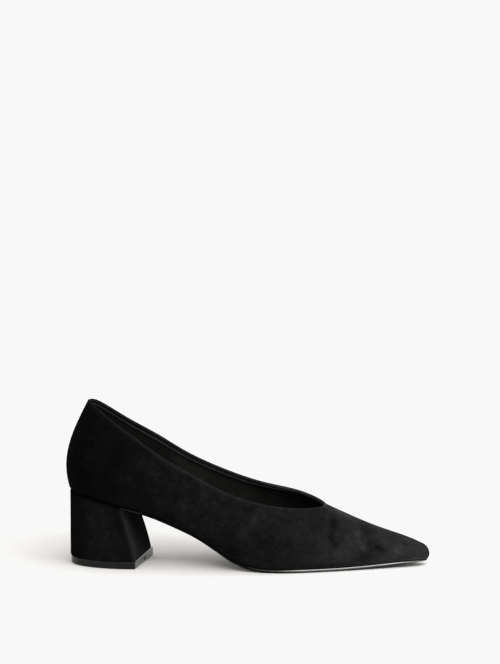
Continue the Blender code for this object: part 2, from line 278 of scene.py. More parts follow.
cad_low, cad_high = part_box("upper")
box_middle = (last_wall.min(axis=(0, 1)) + last_wall.max(axis=(0, 1))) / 2
CENTRE = np.array([box_middle[0], box_middle[1], 0]) - np.array([*(cad_low + cad_high) / 2 / MM]) * (1, 1, 0)


def rim_distance(points):
    """Shortest way to the topline: to its nearest corner, then to the two edges that meet there."""
    flat = points.reshape(-1, 3)
    squares = (flat**2).sum(axis=1)[:, None] - 2 * flat @ loop.T + (loop**2).sum(axis=1)
    nearest = squares.argmin(axis=1)
    start, shortest = loop[nearest], np.full(len(flat), np.inf)
    for step in (-1, 1):
        edge = loop[(nearest + step) % len(loop)] - start
        share = np.clip(((flat - start) * edge).sum(axis=1) / (edge**2).sum(axis=1), 0, 1)
        shortest = np.minimum(shortest, np.linalg.norm(flat - start - share[:, None] * edge, axis=1))
    return shortest.reshape(points.shape[:-1])


def soft_spots(table, row, rise):
    """Sum of rounded bumps: each is its depth times a bell curve over section number and height."""
    total = np.zeros(row.shape)
    for at_row, at_rise, row_reach, rise_reach, amount in table:
        total += amount * np.exp(-(((row - at_row) / row_reach) ** 2) - ((rise - at_rise) / rise_reach) ** 2)
    return total


# Soft hollows and swells of worked suede: row, height, reach along, reach up, millimetres outwards
HOLLOWS = (
    (-9.4, 0.62, 0.35, 0.16, -0.30),
    (-10.3, 0.55, 0.40, 0.20, -0.22),
    (-8.3, 0.55, 0.60, 0.25, 0.20),
    (-6.6, 0.45, 0.50, 0.30, -0.25),
    (-4.2, 0.60, 0.60, 0.22, -0.25),
    (-2.2, 0.45, 0.60, 0.20, 0.20),
    (9.4, 0.60, 0.40, 0.18, -0.30),
    (7.2, 0.50, 0.60, 0.25, -0.25),
    (4.0, 0.55, 0.70, 0.25, -0.25),
)
HOLLOWS_FADE = 8.0  # distance from the topline over which they come in
PULL_FADE = 2  # rows up to the ball over which the upper stops being pulled under
# Strokes left in the nap, seen from the side: s, z, half-length, half-width, degrees that it tilts up
# towards the toe, lighter or darker
OUTER_STROKES = (
    (186.6, 31.5, 4.6, 3.0, 105, -0.24),
    (184.8, 24.2, 3.2, 1.8, 95, -0.20),
    (188.3, 19.3, 2.8, 1.9, 130, -0.22),
    (193.8, 27.6, 3.4, 1.3, 80, -0.12),
    (191.9, 22.7, 2.2, 1.4, 60, -0.18),
    (189.2, 26.0, 1.8, 1.6, 0, 0.06),
    (176.0, 33.0, 4.5, 4.5, 0, -0.07),
    # these two strokes also paint a little highlight along the vamp's ridge
    (190.0, 37.5, 6.5, 2.0, -27, 0.05),
    (198.5, 32.5, 4.0, 2.2, -27, 0.03),
    (203.1, 25.5, 3.6, 2.6, 115, 0.11),
    (206.5, 17.0, 3.6, 1.9, 105, 0.12),
    (208.2, 25.5, 4.2, 2.2, 100, -0.12),
    (213.0, 25.5, 4.5, 1.6, -25, -0.10),
    (212.0, 18.0, 2.2, 1.6, -20, -0.08),
    (217.3, 15.4, 5.4, 2.5, -30, -0.24),
    (222.3, 12.6, 2.0, 1.8, 0, -0.08),
    (208.5, 9.4, 5.5, 3.2, 5, -0.15),
    (212.6, 11.5, 2.0, 3.0, 0, -0.08),
    (230.0, 13.2, 2.8, 3.6, 0, 0.06),
    (235.5, 17.0, 2.8, 1.7, -35, -0.09),
    (188.5, 13.5, 3.0, 2.0, -35, 0.08),
    (183.0, 4.9, 12.0, 1.6, 0, -0.10),
    (111.5, 43.7, 4.2, 3.4, 40, 0.08),
    (124.3, 29.5, 6.2, 3.0, 115, 0.09),
    (131.5, 37.4, 5.0, 2.4, 60, 0.08),
    (137.0, 43.6, 4.0, 2.5, 0, 0.07),
    (142.0, 40.5, 13.0, 4.5, 0, 0.04),
    (158.2, 40.4, 4.2, 3.0, 0, 0.07),
    (100.5, 22.0, 5.0, 3.0, -30, -0.07),
    (116.5, 14.8, 5.5, 3.4, -50, -0.11),
    (147.8, 22.0, 7.0, 3.6, 0, -0.09),
    (179.0, 10.2, 5.0, 3.0, 20, 0.07),
    (167.5, 10.8, 4.0, 2.2, 0, 0.06),
    (88.5, 32.5, 3.2, 2.6, 0, 0.07),
    (80.0, 46.5, 4.2, 3.6, 30, 0.07),
    (66.5, 50.0, 4.5, 3.6, 0, 0.06),
    (72.4, 37.0, 5.0, 2.5, -20, -0.08),
    (97.5, 55.5, 3.6, 2.2, 30, 0.06),
    (84.2, 61.0, 3.0, 4.0, 0, 0.05),
    (60.0, 70.0, 14.0, 6.0, -20, 0.06),
    (18.0, 78.0, 9.0, 2.5, 25, 0.07),
    (15.4, 83.4, 6.0, 1.8, 25, 0.08),
    (53.1, 78.9, 4.0, 4.0, 0, 0.07),
    (36.9, 79.3, 6.0, 6.0, 0, -0.06),
    (12.0, 65.1, 6.0, 4.0, 0, -0.06),
    (42.8, 63.6, 8.0, 4.0, 0, 0.05),
)
INNER_STROKES = (
    (205.0, 22.0, 7.0, 2.4, 60, -0.16),
    (212.0, 16.0, 5.0, 2.0, -30, 0.10),
    (224.0, 14.0, 4.0, 2.4, -20, -0.12),
    (232.0, 13.0, 3.0, 3.0, 0, 0.10),
    (192.0, 30.0, 5.0, 2.5, 70, -0.12),
    (178.0, 28.0, 8.0, 3.0, -50, -0.14),
    (160.0, 38.0, 5.0, 3.0, 0, 0.07),
    (150.0, 25.0, 9.0, 4.0, 15, 0.08),
    (130.0, 30.0, 6.0, 3.0, 110, 0.08),
    (115.0, 40.0, 5.0, 3.0, 30, 0.07),
    (95.0, 45.0, 12.0, 5.0, -25, -0.08),
    (70.0, 55.0, 5.0, 3.5, 20, 0.07),
    (40.0, 75.0, 12.0, 5.0, -15, 0.07),
)


def side_strokes(points, across):
    """Sum of soft ellipses on the shoe's side view: each is its strength times a bell curve."""
    total = np.zeros(points.shape[:-1])
    for table, on_side in ((OUTER_STROKES, across < 0), (INNER_STROKES, across > 0)):
        for s, z, half_length, half_width, tilt, strength in table:
            cos, sin = np.cos(np.radians(tilt)), np.sin(np.radians(tilt))
            along = ((points[..., 0] - s) * cos + (points[..., 2] - z) * sin) / half_length
            wide = ((points[..., 2] - z) * cos - (points[..., 0] - s) * sin) / half_width
            total += strength * np.exp(-(along**2) - wide**2) * on_side
    return total


rim_gap = rim_distance(last_wall)
relief = soft_spots(HOLLOWS, row_grid, rise_grid) * np.clip(rim_gap / HOLLOWS_FADE, 0, 1)
turned = np.clip(ROLL_DROP - rim_gap, 0, None)
sink = ROLL - np.sqrt(ROLL**2 - turned**2)
from_foot = np.linalg.norm(last_wall - last_wall[:, :1], axis=-1)
behind_ball = BALL_ROW - np.abs(row_grid)
pulled_under = np.clip(FOOT_ROUND - from_foot, 0, None) * np.clip(behind_ball / PULL_FADE, 0, 1)
sink += FOOT_ROUND - np.sqrt(FOOT_ROUND**2 - pulled_under**2)
upper_outside = last_wall + wall_out * (relief - sink)[..., None]


def band_height(points):
    """Height of the turned-over band at each point, read from its table along the last."""
    return np.interp(points[..., 0], *np.transpose(BAND_HEIGHTS))


ROLL_STEPS = 14
angle = np.linspace(np.arcsin(ROLL_DROP / ROLL), np.pi, ROLL_STEPS)
roll_profile = np.stack([ROLL * (1 - np.cos(angle)), ROLL_DROP - ROLL * np.sin(angle), 0 * angle], axis=-1)
band_profile = np.array(
    [
        # depth below the outside, millimetres and share of the band's height below the topline
        (2.00, ROLL_DROP, 0.06),
        (1.88, ROLL_DROP, 0.16),
        (1.82, ROLL_DROP, 0.30),
        (1.90, ROLL_DROP, 0.46),
        (2.12, ROLL_DROP, 0.60),
        (2.36, ROLL_DROP, 0.72),
        (2.50, ROLL_DROP, 0.82),
        (2.54, ROLL_DROP, 0.90),
        (2.46, ROLL_DROP, 0.97),
        (2.25, ROLL_DROP, 1.02),
        (1.90, ROLL_DROP, 1.03),
        (1.65, ROLL_DROP, 1.02),
        (1.55, ROLL_DROP, 0.98),
        (1.40, ROLL_DROP, 0.50),
        (SUEDE_THICKNESS, ROLL_DROP, 0.0),
    ]
)
turn_over = np.concatenate([roll_profile, band_profile])
BAND_HIGHLIGHT = (
    # line of the turn-over, how much paler it is painted: a painted highlight on the roll and on the band's
    # lower ridge
    (0, 0.20), (6, 0.34), (12, 0.36), (15, 0.22), (17, 0.22), (19, 0.32), (22, 0.36), (24, 0.0),
)
BAND_LIGHT_FORWARD = 0.14  # and how much more painted light it gets towards the throat, where it is turned from the light
BAND_FORWARD = (110, 150)  # s from which and to which that grows
BAND_SHADE_AND_HIGHLIGHT_BACK = (
    # line of the turn-over, what the back of the collar adds: a strip of painted shade and a painted
    # highlight on the bead
    (12, 0.0), (14, -0.18), (18.5, -0.18), (19.5, 0.10), (20.5, 0.36), (22.5, 0.36), (23.5, 0.0),
)
BAND_BACK_ALONG = (
    # s, share of that addition
    (50, 1.0), (75, 0.5), (115, 0.5), (140, 0.0),
)
depth = turn_over[:, 0, None]
below = turn_over[:, 1] + turn_over[:, 2] * (band_height(rim)[:, None] - ROLL_DROP)
turned_band = rim[:, None] - depth * rim_out[:, None] - below[..., None] * rim_up[:, None]
turned_band[:, 0] = upper_outside[on_rim, -1]

inside_lines = np.delete(np.arange(len(upper_rise)), [-3, -2])  # without those that the roll takes up
inside_wall, inside_out, inside_gap = (values[:, inside_lines] for values in (last_wall, wall_out, rim_gap))
upper_inside = inside_wall - SUEDE_THICKNESS * inside_out
upper_inside[on_rim, -1] = turned_band[:, -1]


def underfoot(rows, inset, lift):
    """A line inside the bottom edge: moved in by inset, square to the edge, and raised by lift."""
    s, across = feather(rows)
    out_s, out_across = outward(rows)
    s, across = s - inset * out_s, across - inset * out_across
    return swung(s, across, bottom_z(s) + lift)


LASTED_UNDER = -0.05  # height of the lasted edge's under and upper side from the bottom edge
LASTED_OVER = 0.6
lasted_edge = np.stack(
    [
        upper_outside[:, 0],
        underfoot(upper_rows, LASTING_MARGIN / 2, LASTED_UNDER),
        underfoot(upper_rows, LASTING_MARGIN, LASTED_UNDER),
        underfoot(upper_rows, LASTING_MARGIN, LASTED_OVER),
        upper_inside[:, 0],
    ],
    axis=1,
)


WELD = 0.004 * MM  # points closer than this are one
SLIVER = 0.001 * MM  # edges shorter than this are taken out
SHARP_ANGLE = np.radians(50)


def grid_quads(shape, first=0):
    """Corner numbers of the quads over a grid whose points are numbered row by row from first."""
    index = first + np.arange(shape[0] * shape[1]).reshape(shape)
    return np.stack([index[:-1, :-1], index[:-1, 1:], index[1:, 1:], index[1:, :-1]], axis=-1).reshape(-1, 4)


def add_object(name, data):
    """A new object in the scene."""
    thing = bpy.data.objects.new(name, data)
    bpy.context.scene.collection.objects.link(thing)
    return thing


def add_piece(name, grids, material, attributes=None):
    """A piece on root from grids of points on the last: quads over each grid, welded where grids meet."""
    starts = np.cumsum([0] + [grid.shape[0] * grid.shape[1] for grid in grids])
    quads = [grid_quads(grid.shape[:2], first) for grid, first in zip(grids, starts)]
    points = (np.concatenate([grid.reshape(-1, 3) for grid in grids]) - CENTRE) * MM
    mesh = bpy.data.meshes.new(name)
    mesh.from_pydata(points.tolist(), [], np.concatenate(quads).tolist())
    for label, values in (attributes or {}).items():
        layer = mesh.attributes.new(label, "FLOAT", "POINT")
        layer.data.foreach_set("value", np.concatenate([np.ravel(v) for v in values]).astype(np.float32))
    shape = bmesh.new()
    shape.from_mesh(mesh)
    bmesh.ops.remove_doubles(shape, verts=shape.verts, dist=WELD)
    bmesh.ops.dissolve_degenerate(shape, edges=shape.edges, dist=SLIVER)
    bmesh.ops.recalc_face_normals(shape, faces=shape.faces)
    shape.to_mesh(mesh)
    shape.free()
    mesh.shade_smooth()
    mesh.set_sharp_from_angle(angle=SHARP_ANGLE)
    mesh.materials.append(material)
    piece = add_object(name, mesh)
    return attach(piece, "root")


def add_node(material, kind, inputs=None, **settings):
    """A shader node with its settings and its inputs, each set to a value or linked to an output."""
    node = material.node_tree.nodes.new("ShaderNode" + kind)
    for name, value in settings.items():
        setattr(node, name, value)
    for name, value in (inputs or {}).items():
        if isinstance(value, bpy.types.NodeSocket):
            material.node_tree.links.new(value, node.inputs[name])
        else:
            node.inputs[name].default_value = value
    return node


def new_material(name, inputs):
    """A node material, its Principled shader with these inputs, and its places on the piece in metres."""
    material = bpy.data.materials.new(name)
    material.use_nodes = True
    shader = material.node_tree.nodes["Principled BSDF"]
    for socket, value in inputs.items():
        shader.inputs[socket].default_value = value
    return material, shader, add_node(material, "TexCoord").outputs["Object"]


def link(material, output, node, socket):
    """Joins one node's output to another's input."""
    material.node_tree.links.new(output, node.inputs[socket])


def add_bump(material, shader, height, strength, distance):
    """Bump on the shader's normals: the height times a strength, over a distance in metres."""
    node = add_node(material, "Bump", {"Strength": strength, "Distance": distance, "Height": height})
    link(material, node.outputs["Normal"], shader, "Normal")


def noise(material, place, scale, detail, roughness=0.5, distortion=0.0):
    """Noise texture values, about 1 / scale metres from one blotch to the next."""
    inputs = {
        "Vector": place,
        "Scale": scale,
        "Detail": detail,
        "Roughness": roughness,
        "Distortion": distortion,
    }
    return add_node(material, "TexNoise", inputs).outputs["Fac"]


def weighed(material, parts):
    """Sum of values, each times its weight."""
    total = 0.0
    for value, weight in parts:
        added = add_node(material, "Math", {0: value, 1: weight, 2: total}, operation="MULTIPLY_ADD")
        total = added.outputs["Value"]
    return total


def add_colours(material, shader, value, stops):
    """The shader's colour along a value: stops are places from 0 to 1 with linear colours."""
    node = add_node(material, "ValToRGB", {"Fac": value})
    elements = node.color_ramp.elements
    while len(elements) < len(stops):
        elements.new(0.5)
    for element, (place, colour) in zip(elements, stops):
        element.position = place
        element.color = (*colour, 1)
    link(material, node.outputs["Color"], shader, "Base Color")


suede_inputs = {
    "Roughness": 0.95,
    "Specular IOR Level": 0.0,
    "Sheen Weight": 0.007,
    "Sheen Roughness": 0.45,
    "Sheen Tint": (0.8, 0.76, 0.78, 1),
}
suede, suede_shader, suede_place = new_material("black_suede", suede_inputs)
nap_lie = add_node(suede, "Mapping", {"Vector": suede_place, "Scale": (0.8, 1.0, 1.0)}).outputs["Vector"]
drifts = noise(suede, suede_place, scale=26, detail=2, distortion=0.4)
clouds = noise(suede, suede_place, scale=90, detail=4, roughness=0.6, distortion=0.3)
brushing = noise(suede, nap_lie, scale=340, detail=3, roughness=0.6, distortion=0.2)
fibres = noise(suede, nap_lie, scale=1500, detail=3, roughness=0.6)
mottle = noise(suede, suede_place, scale=380, detail=3, roughness=0.65, distortion=0.8)
mottle_range = {"Value": mottle, "From Min": 0.34, "From Max": 0.66, "To Min": 0.35, "To Max": 1.6}
mottling = add_node(suede, "MapRange", mottle_range).outputs["Result"]
stroke = add_node(suede, "Attribute", attribute_name="stroke").outputs["Fac"]
strokes = add_node(suede, "Math", {0: stroke, 1: mottling}, operation="MULTIPLY").outputs["Value"]
# this attribute holds the nap's own tone together with painted light and shade
brushed_and_painted_light = add_node(suede, "Attribute", attribute_name="nap_and_painted_light").outputs["Fac"]
nap_and_light_parts = [(drifts, 0.08), (clouds, 0.26), (brushing, 0.27), (fibres, 0.39), (brushed_and_painted_light, 1.0), (strokes, 1.0)]
nap_and_painted_light = weighed(suede, nap_and_light_parts)
suede_colours = (
    (0.20, (0.0012, 0.0011, 0.0011)),
    (0.50, (0.0039, 0.0036, 0.0037)),
    (0.75, (0.0118, 0.0111, 0.0112)),
    (0.94, (0.0240, 0.0226, 0.0228)),
    (1.00, (0.0400, 0.0376, 0.0379)),
)
add_colours(suede, suede_shader, nap_and_painted_light, suede_colours)
pile = weighed(suede, [(fibres, 0.7), (brushing, 0.5)])
add_bump(suede, suede_shader, pile, strength=0.35, distance=0.0005)

NAP_AND_LIGHT_ALONG = (
    # s, how much paler the suede is there: partly its nap, partly painted light, so the toe that faces the
    # light is paler and the back of the quarters carries painted shade
    (0, -0.18), (35, -0.11), (60, -0.02), (85, 0.07), (130, 0.06), (165, 0.14), (190, 0.26),
    (220, 0.31), (245, 0.37),
)
EDGE_NAP_AND_HIGHLIGHT = 0.20  # the nap opens over the fold, and a painted highlight lies along it
EDGE_REACH = 1.9
CREST_HIGHLIGHT = 0.20  # painted highlight along the ridge of the vamp, which faces up to the light
CREST_REACH = 0.16  # how far down from the ridge, as a share of the wall
CREST_ROWS = (THROAT_ROW - 0.2, THROAT_ROW, POINT_ROW - 0.6, POINT_ROW)  # where it starts, is full and ends
SEAM_SHADE = 0.35  # painted shade in the joint where the upper is pulled under, along the sole and the heel
SEAM_REACH = 1.5
# painted light and shade along the last, with the nap's own tone
nap_and_light_outside = np.interp(last_wall[..., 0], *np.transpose(NAP_AND_LIGHT_ALONG))
# painted highlight along the rolled topline
nap_and_light_outside += EDGE_NAP_AND_HIGHLIGHT * np.exp(-((rim_gap / EDGE_REACH) ** 2))
# painted highlight along the vamp's ridge
on_crest = np.interp(np.abs(row_grid), CREST_ROWS, (0, 1, 1, 0))
nap_and_light_outside += CREST_HIGHLIGHT * on_crest * np.exp(-(((1 - rise_grid) / CREST_REACH) ** 2))
# painted shade along the bottom edge of the upper, in the joint
nap_and_light_outside -= SEAM_SHADE * np.exp(-((from_foot / SEAM_REACH) ** 2)) * np.clip(behind_ball, 0, 1)
# painted highlight on the turned-over band
band_light = np.interp(np.arange(len(turn_over)), *np.transpose(BAND_HIGHLIGHT))
# painted light on the band towards the throat
band_light = band_light + BAND_LIGHT_FORWARD * np.interp(turned_band[..., 0], BAND_FORWARD, (0, 1))
# painted shade and highlight at the back of the collar
back_shade_and_highlight = np.interp(np.arange(len(turn_over)), *np.transpose(BAND_SHADE_AND_HIGHLIGHT_BACK))
band_light += back_shade_and_highlight * np.interp(turned_band[..., 0], *np.transpose(BAND_BACK_ALONG))
# the inside is left plain; the lasted edge gets painted shade where it shows in the joint
inside_and_edge_shade = [np.zeros(upper_inside.shape[:2]), np.full(lasted_edge.shape[:2], -SEAM_SHADE)]
upper_grids = [upper_outside, turned_band, upper_inside[:, ::-1], lasted_edge]
unmarked = [np.zeros(grid.shape[:2]) for grid in upper_grids[1:]]
upper_strokes = [side_strokes(last_wall, row_grid), *unmarked]
upper_tone_and_light = {"nap_and_painted_light": [nap_and_light_outside, band_light, *inside_and_edge_shade], "stroke": upper_strokes}
upper = add_piece("suede_upper", upper_grids, suede, upper_tone_and_light)
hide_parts("upper")

# Lining: thin black leather glued inside the upper. It comes out from under the turned-over band
# with a small groove, covers the whole inside, and ends under the sock.
LINING_DEPTH = 1.35  # of its face below the outside of the suede
LINING_TUCKED = 1.06  # and of its face under the band
LINING_BACK = 1.03
GROOVE_LEAD = 0.1  # how far above the band's edge the face starts to come out
GROOVE_WIDTH = 0.6
TUCK_REACH = 2.8  # how far below the band the leather is dark with glue and shade
TUCK_ALONG = (
    # s, how much darker the leather is there: uneven tone, with painted shade under the band at the instep;
    # paler in the heel cup, darker at the instep
    (30, -0.40), (42, -0.35), (50, -0.10), (60, 0.30), (69, 0.10), (75, -0.35), (85, -0.20), (95, 0.0),
    (104, 0.30), (112, -0.10), (122, -0.25), (150, -0.25), (165, 0.0),
)
TUCK_FORWARD = (
    # s, share of the darkness below the band
    (66, 0.2), (90, 1.0),
)
below_band = inside_gap - band_height(inside_wall)
untucked = np.clip((below_band + GROOVE_LEAD) / GROOVE_WIDTH, 0, 1)
lining_depth = LINING_TUCKED + (LINING_DEPTH - LINING_TUCKED) * untucked**2 * (3 - 2 * untucked)
lining_face = inside_wall - inside_out * lining_depth[..., None]
lining_face[on_rim, -1] = rim - LINING_TUCKED * rim_out - ROLL_DROP * rim_up
lining_back = inside_wall - inside_out * LINING_BACK
lining_back[on_rim, -1] = rim - LINING_BACK * rim_out - ROLL_DROP * rim_up
lining_foot = np.stack([lining_back[:, 0], lining_face[:, 0]], axis=1)
lining_top = np.stack([lining_face[on_rim, -1], lining_back[on_rim, -1]], axis=1)

lining_inputs = {"Roughness": 0.7, "Specular IOR Level": 0.1}
lining, lining_shader, lining_place = new_material("lining_leather", lining_inputs)
lining_cloud = noise(lining, lining_place, scale=130, detail=4, roughness=0.65, distortion=0.4)
lining_grain = add_node(lining, "TexVoronoi", {"Vector": lining_place, "Scale": 1100}, feature="SMOOTH_F1")
shade_and_mottle = add_node(lining, "Attribute", attribute_name="shade_and_mottle").outputs["Fac"]
lining_tone = weighed(lining, [(lining_cloud, 0.8), (lining_grain.outputs["Distance"], 0.3), (shade_and_mottle, -0.42)])
lining_colours = ((0.1, (0.0016, 0.0015, 0.0013)), (0.8, (0.0112, 0.0106, 0.0094)))
add_colours(lining, lining_shader, lining_tone, lining_colours)
add_bump(lining, lining_shader, lining_grain.outputs["Distance"], strength=0.25, distance=0.0003)
# painted shade below the turned-over band, plus uneven tone along the last
band_shade_and_mottle = np.exp(-((np.clip(below_band, 0, None) / TUCK_REACH) ** 2))
band_shade_and_mottle *= np.interp(inside_wall[..., 0], *np.transpose(TUCK_FORWARD))
band_shade_and_mottle += np.interp(inside_wall[..., 0], *np.transpose(TUCK_ALONG))
lining_shade_and_mottle = [band_shade_and_mottle, band_shade_and_mottle[:, ::-1], np.zeros(lining_foot.shape[:2]), np.ones(lining_top.shape[:2])]
lining_grids = [lining_face, lining_back[:, ::-1], lining_foot, lining_top]
lining_piece = add_piece("lining", lining_grids, lining, {"shade_and_mottle": lining_shade_and_mottle})

# Sock: the soft black leather underfoot, glued over the insole board from the heel to the toe.
# It is laid edge to edge with the lining and dips a little along its middle.
SOCK_HEIGHT = 3.0  # of its edge above the bottom edge of the upper
SOCK_THICKNESS = 1.8
SOCK_EDGE_GAP = 0.3
SOCK_HOLLOW = 0.7  # depth of the dip along its middle
SOCK_FULL_WIDTH = 40.0  # where it is narrower than this, the dip is shallower
SHORT_WALL = 12.0  # a wall lower than this, at the tip, counts less of its flare
sock_rows = np.linspace(0, LAST_ROW, 121)
sock_across = np.linspace(0, 1, 33)


def sock_edge(rows):
    """Where the lining stands at the sock's height, on a straight line up the wall's flare."""
    flare = np.radians(eased(np.arange(len(SECTIONS)), SECTIONS["flare"], np.abs(rows)))
    foot_s, foot_across = feather(rows)
    foot = np.stack([foot_s, foot_across, bottom_z(foot_s)], axis=-1)
    chord = np.linalg.norm(np.stack(top_edge(rows), axis=-1) - foot, axis=-1)
    grown = SOCK_HEIGHT / np.cos(flare)
    flared = grown * np.sin(flare) * np.clip(chord / SHORT_WALL, 0, 1)
    return underfoot(rows, LINING_DEPTH + SOCK_EDGE_GAP - flared, SOCK_HEIGHT)


outer_edge, inner_edge = sock_edge(-sock_rows), sock_edge(sock_rows)
mix = sock_across[:, None]
sock_top = outer_edge[:, None] * (1 - mix) + inner_edge[:, None] * mix
hollow = 1 - (2 * sock_across - 1) ** 2
sock_width = np.linalg.norm(inner_edge - outer_edge, axis=-1)[:, None]
sock_top[..., 2] -= SOCK_HOLLOW * hollow * np.clip(sock_width / SOCK_FULL_WIDTH, 0, 1)
sock_bottom = sock_top - np.array([0, 0, SOCK_THICKNESS])
sock_sides = [
    np.stack([sock_bottom[:, 0], sock_top[:, 0]], axis=1),
    np.stack([sock_top[:, -1], sock_bottom[:, -1]], axis=1),
]

sock, sock_shader, sock_place = new_material("sock_leather", {"Roughness": 0.55})
sock_cloud = noise(sock, sock_place, scale=35, detail=4, roughness=0.6)
sock_grain = add_node(sock, "TexVoronoi", {"Vector": sock_place, "Scale": 750}, feature="SMOOTH_F1")
sock_tone = weighed(sock, [(sock_cloud, 0.85), (sock_grain.outputs["Distance"], 0.25)])
sock_colours = ((0.3, (0.008, 0.0076, 0.0073)), (0.8, (0.020, 0.0188, 0.0183)))
add_colours(sock, sock_shader, sock_tone, sock_colours)
add_bump(sock, sock_shader, sock_grain.outputs["Distance"], strength=0.3, distance=0.0004)
sock_piece = add_piece("sock", [sock_top, sock_bottom, *sock_sides], sock)
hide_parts("insole")

# Outsole: a thin black moulded sole glued under the forefoot and the waist, up to the heel's breast.
# Round the forefoot its edge stands out past the upper, bevelled towards the light and lacquered to a gloss.
HEEL_SEAT_GAP = 0.3
SEAT_INSET = 0.2
SOLE_START = 42.0  # s of the sole's back end
EDGE_PROFILE = np.array(
    [
        # millimetres outwards from the sole's edge, share of the thickness below its top
        (-1.80, 0.00), (-0.90, 0.00), (-0.50, 0.03), (-0.34, 0.12), (-0.16, 0.28), (0.00, 0.46),
        (0.03, 0.60), (-0.10, 0.78), (-0.45, 0.95), (-0.90, 1.00), (-1.80, 1.00),
    ]
)


def row_at(s_wanted):
    """The section number where the bottom edge reaches s."""
    rows = np.linspace(0, LAST_ROW, 400)
    return float(np.interp(s_wanted, feather(rows)[0], rows))


sole_start = row_at(SOLE_START)
sole_path = np.linspace(sole_start, 2 * LAST_ROW - sole_start, 361)
sole_row = LAST_ROW - np.abs(sole_path - LAST_ROW)
EDGE_OUT = (
    # section number, how far the sole's edge stands out past the bottom edge of the upper
    (sole_start, -SEAT_INSET),
    (row_at(95), -1.2),
    (row_at(135), 0.9),
    (POINT_ROW, 0.9),
    (LAST_ROW, -0.3),
)
THICKNESS = (
    # section number, the sole's thickness
    (sole_start, 1.2),
    (row_at(70), 1.8),
    (row_at(95), 1.8),
    (row_at(142), 2.25),
    (row_at(214), 2.25),
    (POINT_ROW, 1.2),
    (LAST_ROW, 1.0),
)
sole_edge = eased(*np.transpose(EDGE_OUT), sole_row)
sole_thickness = eased(*np.transpose(THICKNESS), sole_row)
profile_at = np.linspace(1, len(EDGE_PROFILE) - 2, 25)
edge_away, edge_below = (
    np.concatenate([column[:1], spline(column, profile_at, False), column[-1:]]) for column in EDGE_PROFILE.T
)
edge_below = np.clip(edge_below, 0, 1)


def sole_points(s, across, thickness, share_below):
    """A point of the sole: a share of its thickness below the bottom edge of the upper."""
    return swung(s, across, bottom_z(s) - thickness * share_below)


path_s, path_across = feather(sole_path)
path_out_s, path_out_across = outward(sole_path)
away = sole_edge[:, None] + edge_away
rim_s = path_s[:, None] + away * path_out_s[:, None]
rim_across = path_across[:, None] + away * path_out_across[:, None]
sole_rim = sole_points(rim_s, rim_across, sole_thickness[:, None], edge_below)
half_way = len(sole_path) // 2 + 1
span = np.linspace(0, 1, 25)


def bridged(first, second):
    """Values straight across from one line to the other."""
    return first[:, None] * (1 - span) + second[:, None] * span


sole_faces = []
for side, share_below in ((0, 0), (-1, 1)):
    edges = rim_s[:, side], rim_across[:, side]
    face_s, face_across = (bridged(edge[:half_way], edge[::-1][:half_way]) for edge in edges)
    sole_faces.append(sole_points(face_s, face_across, sole_thickness[:half_way, None], share_below))
end_s, end_across = (bridged(edge[0], edge[-1]) for edge in (rim_s, rim_across))
sole_end = sole_points(end_s, end_across, sole_thickness[0], edge_below[:, None])

sole_inputs = {"Specular IOR Level": 0.0, "Coat Roughness": 0.12, "Coat IOR": 2.1}
sole, sole_shader, sole_place = new_material("black_sole", sole_inputs)
sole_cloud = noise(sole, sole_place, scale=40, detail=4, roughness=0.6)
sole_fine = noise(sole, sole_place, scale=900, detail=2)
sole_colours = ((0.3, (0.0036, 0.0035, 0.0034)), (0.75, (0.0085, 0.0081, 0.0079)))
add_colours(sole, sole_shader, sole_cloud, sole_colours)
add_bump(sole, sole_shader, sole_fine, strength=0.08, distance=0.0002)
sole_rough = add_node(sole, "MapRange", {"Value": sole_cloud, "To Min": 0.5, "To Max": 0.75})
link(sole, sole_rough.outputs["Result"], sole_shader, "Roughness")
BOTTOM_GLOSS = 0.25  # of the walking side
lacquer = add_node(sole, "Attribute", attribute_name="lacquer").outputs["Fac"]
link(sole, lacquer, sole_shader, "Coat Weight")
LACQUER_ALONG = (
    # s, gloss of the edge: dull along the waist, full round the forefoot, less at the tip
    (41, 0.08), (50, 0.08), (58, 0.0), (126, 0.0), (134, 0.05), (142, 0.08), (149, 0.14), (164, 1.0),
    (244, 1.0), (251, 0.5),
)
LACQUER_DOWN = (
    # share of the thickness below the sole's top, share of that gloss: the bevel shines and the foot is dull
    (0.0, 1.0), (0.45, 0.8), (0.7, 0.14), (1.0, 0.04),
)
LACQUER_INSET = 1.0  # how far in from the edge the lacquer starts, and over how much it comes in
LACQUER_FADE = 0.3
lacquer_share = np.interp(path_s, *np.transpose(LACQUER_ALONG))[:, None]
on_edge = np.clip((edge_away + LACQUER_INSET) / LACQUER_FADE, 0, 1)
on_edge *= np.interp(edge_below, *np.transpose(LACQUER_DOWN))
bare = [np.full(grid.shape[:2], BOTTOM_GLOSS) for grid in (*sole_faces, sole_end)]
outsole_grids = [sole_rim, *sole_faces, sole_end]
outsole = add_piece("outsole_moulded", outsole_grids, sole, {"lacquer": [lacquer_share * on_edge, *bare]})
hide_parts("outsole")

# Heel: a moulded block covered in the same suede, which is drawn round its back and sides and over
# the breast. The breast slopes forwards to the floor, and the cover rounds its corners well.
LIFT_THICKNESS = 5.3
HEEL_BREAST = 41.8
HEEL_FOOT_BACK = -0.3
HEEL_FOOT_BREAST = 51.5
HEEL_FOOT_SPREAD = (1.02, 1.10)  # width of the foot over that of the seat, outside and inside
BREAST_BOW = 1.0  # how far the breast bows forwards half-way down
HEEL_LIP = 0.92  # share of the height above which the breast is upright
HEEL_CORNERS = (3.4, 6.0)  # reach of the outer and the inner breast corner's rounding along each face
ROW_LENGTH = 20.0  # from one section of the last to the next, beside the breast
FLANK_COLUMNS = 121
COVER_BREAST_COLUMNS = 21
COVER_ROUND = 1.1  # rounding of the cover at the seat and at the lift
COVER_RISE = 1.2  # how much higher the cover ends at the inner end of the breast
RISE_REACH = 9.0  # how far behind the breast that starts
HEEL_HALF_WIDTH = 24.0
